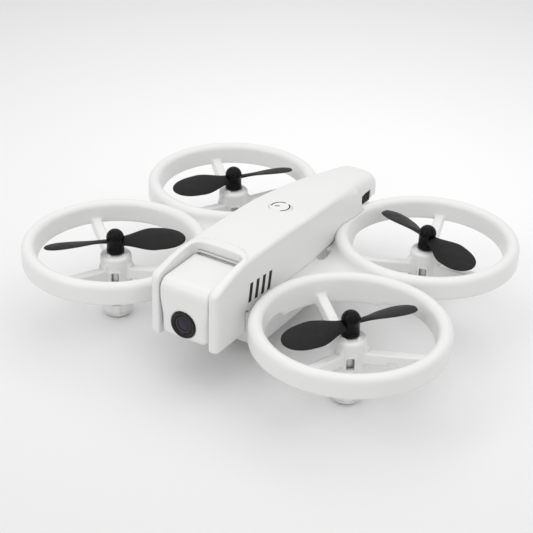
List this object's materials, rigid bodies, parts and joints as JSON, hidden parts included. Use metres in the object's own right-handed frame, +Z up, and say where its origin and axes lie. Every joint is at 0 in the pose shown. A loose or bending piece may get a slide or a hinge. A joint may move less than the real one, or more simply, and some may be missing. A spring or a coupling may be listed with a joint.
{
  "type": "mini palm drone",
  "caption": "White palm-size camera drone with ducted rotors on motor pods, a slim box fuselage, a tilting nose camera and a power button on top.",
  "frame": {"origin": "on the floor under the middle of the wheelbase, at the centre of the drone's bounding box", "axes": "+Z up, nose and camera towards -Y, rotors spread along X"},
  "size_m": [0.1468, 0.1204, 0.0401],
  "materials": {
    "white_shell": "satin white ABS, fine moulded grain",
    "white_frame": "satin white nylon blend, slightly softer sheen than the shell",
    "black_trim": "matt black moulding",
    "black_gloss": "gloss black ring",
    "propeller_black": "satin black moulded blades, polished hub",
    "lens_glass": "coated lens",
    "circuit_board": "solder mask",
    "battery_wrap": "silver pouch film",
    "motor_cap": "white plastic end cap",
    "motor_steel": "drawn steel can",
    "pin_steel": "ground steel",
    "screw_steel": "blackened steel",
    "socket_steel": "plated shell",
    "washer_rubber": "matt black"
  },
  "bodies": {
    "airframe": {"fuselage_shell": "white_shell", "top_cover": "white_shell", "belly_tray": "white_frame", "battery_tub": "white_frame", "side_web_left": "white_frame", "side_web_right": "white_frame", "vent_grille_left": "black_trim", "vent_grille_right": "black_trim", "main_board": "circuit_board", "board_screws": "screw_steel", "power_switch": "black_trim", "battery": "battery_wrap", "usb_socket": "socket_steel", "charging_board": "circuit_board", "belly_screws": "screw_steel", "guard_ring_front_left": "white_frame", "motor_mount_front_left": "white_frame", "foot_cap_front_left": "white_frame", "motor_cap_front_left": "motor_cap", "motor_can_front_left": "motor_steel", "guard_ring_front_right": "white_frame", "motor_mount_front_right": "white_frame", "foot_cap_front_right": "white_frame", "motor_cap_front_right": "motor_cap", "motor_can_front_right": "motor_steel", "guard_ring_rear_left": "white_frame", "motor_mount_rear_left": "white_frame", "foot_cap_rear_left": "white_frame", "motor_cap_rear_left": "motor_cap", "motor_can_rear_left": "motor_steel", "guard_ring_rear_right": "white_frame", "motor_mount_rear_right": "white_frame", "foot_cap_rear_right": "white_frame", "motor_cap_rear_right": "motor_cap", "motor_can_rear_right": "motor_steel"},
    "camera": {"camera_housing": "white_shell", "camera_back_cover": "white_frame", "lens_barrel": "black_trim", "lens_bezel": "black_gloss", "lens_glass": "lens_glass", "image_sensor_board": "circuit_board", "camera_pivot_pins": "pin_steel", "friction_washers": "washer_rubber"},
    "power_button": {"power_button": "white_shell"},
    "rotor_front_left": {"motor_shaft_front_left": "pin_steel", "propeller_front_left": "propeller_black"},
    "rotor_front_right": {"motor_shaft_front_right": "pin_steel", "propeller_front_right": "propeller_black"},
    "rotor_rear_left": {"motor_shaft_rear_left": "pin_steel", "propeller_rear_left": "propeller_black"},
    "rotor_rear_right": {"motor_shaft_rear_right": "pin_steel", "propeller_rear_right": "propeller_black"}
  },
  "joints": [
    {"name": "camera_tilt", "type": "hinge", "parent": "airframe", "child": "camera", "pos_m": [0, -0.0435, 0.0224], "axis": [1, 0, 0], "range_deg": [0, 60]},
    {"name": "power_press", "type": "slide", "parent": "airframe", "child": "power_button", "axis": [0, 0, -1], "range_m": [0, 0.0003], "stiffness_N_per_m": 5000},
    {"name": "spin_front_left", "type": "hinge", "parent": "airframe", "child": "rotor_front_left", "pos_m": [-0.0434, -0.0302, 0.0265], "axis": [0, 0, 1], "continuous": true},
    {"name": "spin_front_right", "type": "hinge", "parent": "airframe", "child": "rotor_front_right", "pos_m": [0.0434, -0.0302, 0.0265], "axis": [0, 0, 1], "continuous": true},
    {"name": "spin_rear_left", "type": "hinge", "parent": "airframe", "child": "rotor_rear_left", "pos_m": [-0.0381, 0.0302, 0.0265], "axis": [0, 0, 1], "continuous": true},
    {"name": "spin_rear_right", "type": "hinge", "parent": "airframe", "child": "rotor_rear_right", "pos_m": [0.0381, 0.0302, 0.0265], "axis": [0, 0, 1], "continuous": true}
  ]
}
